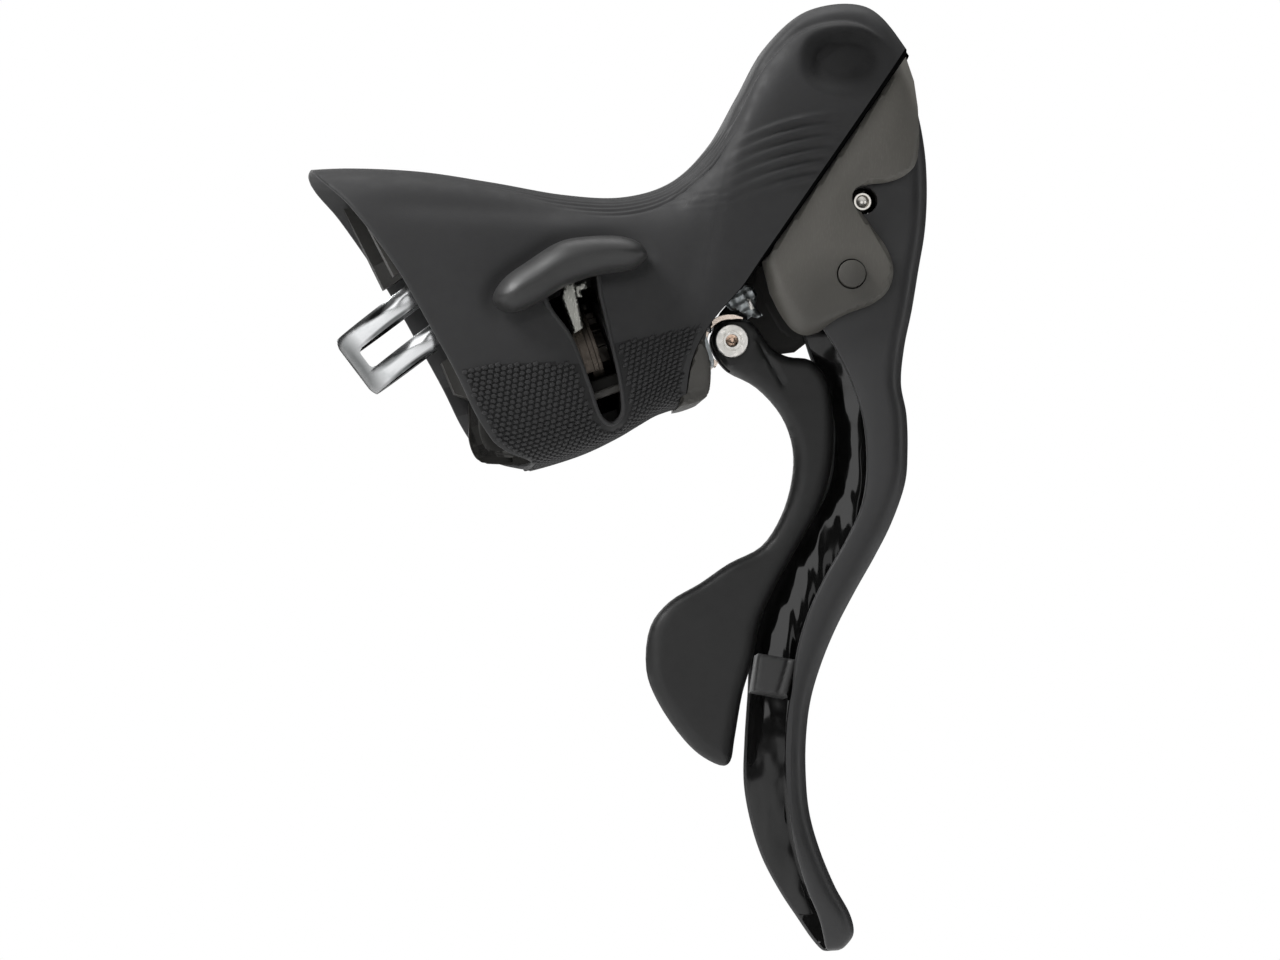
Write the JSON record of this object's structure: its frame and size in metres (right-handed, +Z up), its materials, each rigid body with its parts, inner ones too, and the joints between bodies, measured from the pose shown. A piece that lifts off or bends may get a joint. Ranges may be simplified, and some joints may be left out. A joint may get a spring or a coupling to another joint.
{
  "type": "brake and shift lever",
  "caption": "Left-hand brake and gear lever for a drop handlebar: rubber-hooded housing, hanging brake blade, folding shift paddle, side thumb lever and strap clamp.",
  "frame": {"origin": "on the handlebar's axis at the middle of the clamp band", "axes": "+X forwards along the bicycle, +Y outboard (the rider's left), +Z up; the brake blade hangs down from the front"},
  "size_m": [0.1126, 0.0437, 0.1727],
  "materials": {
    "housing_composite": "satin fibre-filled composite, warm dark grey",
    "hood_rubber": "matte black rubber with moulded ridges and a textured grip zone",
    "black_plastic": "matte moulded",
    "gloss_composite": "satin outside, glossy inside the channel",
    "dark_composite_cap": "satin",
    "bush_plastic": "plain bearing plastic",
    "steel": "turned and tumbled",
    "spring_steel": "drawn wire",
    "chrome_strap": "bright plated strip",
    "cast_alloy": "die-cast, grey",
    "bright_alloy": "turned"
  },
  "bodies": {
    "housing": {"lever_housing": "housing_composite", "rubber_hood": "hood_rubber", "clamp_band": "chrome_strap", "clamp_barrel_nut": "steel", "clamp_bolt": "steel", "brake_housing_stop": "bright_alloy", "shift_housing_stop": "bright_alloy", "pivot_pin": "dark_composite_cap", "brake_return_spring": "spring_steel", "shift_shaft": "steel", "shaft_circlip": "spring_steel", "rear_bearing": "steel", "front_bearing": "steel", "mechanism_support": "cast_alloy", "index_spring_carrier": "bush_plastic", "index_spring_upper": "spring_steel", "index_spring_lower": "spring_steel", "thumb_return_spring": "spring_steel", "upshift_return_spring": "spring_steel"},
    "brake_lever": {"brake_blade": "gloss_composite", "pivot_bush_inboard": "bush_plastic", "pivot_bush_outboard": "bush_plastic", "blade_bumper": "black_plastic"},
    "release_pin": {"release_pin": "bright_alloy"},
    "cable_anchor": {"cable_anchor": "steel"},
    "carrier": {"shift_carrier": "cast_alloy", "paddle_screw": "steel", "paddle_screw_nut": "steel", "paddle_return_spring": "spring_steel"},
    "paddle": {"upshift_paddle": "black_plastic"},
    "thumb_lever": {"thumb_lever_arm": "steel", "thumb_lever_pad": "black_plastic", "pawl_pin": "steel"},
    "pawl": {"thumb_pawl": "steel"},
    "drum": {"cable_drum": "black_plastic", "index_gear": "steel", "drum_ratchet": "steel"}
  },
  "joints": [
    {"name": "brake_pull", "type": "hinge", "parent": "housing", "child": "brake_lever", "pos_m": [0.079, 0, 0.0089], "axis": [0, 1, 0], "range_deg": [0, 22], "stiffness_Nm_per_rad": 0.25, "springref_deg": -17.19},
    {"name": "paddle_fold", "type": "hinge", "parent": "carrier", "child": "paddle", "pos_m": [0.0578, 0, -0.0029], "axis": [0, 1, 0], "range_deg": [0, 31]},
    {"name": "anchor_turn", "type": "hinge", "parent": "brake_lever", "child": "cable_anchor", "pos_m": [0.0766, 0, 0.0178], "axis": [0, 1, 0], "range_deg": [-23, 0]},
    {"name": "release_slide", "type": "slide", "parent": "brake_lever", "child": "release_pin", "axis": [0, -1, 0], "range_m": [0, 0.003]},
    {"name": "paddle_swing", "type": "hinge", "parent": "housing", "child": "carrier", "pos_m": [0.034, 0, -0.0042], "axis": [-0.95, 0, -0.3123], "range_deg": [0, 20], "stiffness_Nm_per_rad": 0.15, "springref_deg": -11.46},
    {"name": "thumb_press", "type": "hinge", "parent": "housing", "child": "thumb_lever", "pos_m": [0.034, 0, -0.0042], "axis": [0.95, 0, 0.3123], "range_deg": [0, 40], "stiffness_Nm_per_rad": 0.1, "springref_deg": -17.19},
    {"name": "pawl_lift", "type": "hinge", "parent": "thumb_lever", "child": "pawl", "pos_m": [0.03188, 0.0052, 0.00226], "axis": [-0.95, 0, -0.3123], "range_deg": [0, 8], "stiffness_Nm_per_rad": 0.01, "springref_deg": -17.19},
    {"name": "drum_index", "type": "hinge", "parent": "housing", "child": "drum", "pos_m": [0.034, 0, -0.0042], "axis": [0.95, 0, 0.3123], "range_deg": [0, 95]}
  ],
  "couplings": [
    {"joint": "paddle_fold", "follows": "brake_pull", "ratio": 1.4},
    {"joint": "anchor_turn", "follows": "brake_pull", "ratio": -1}
  ]
}
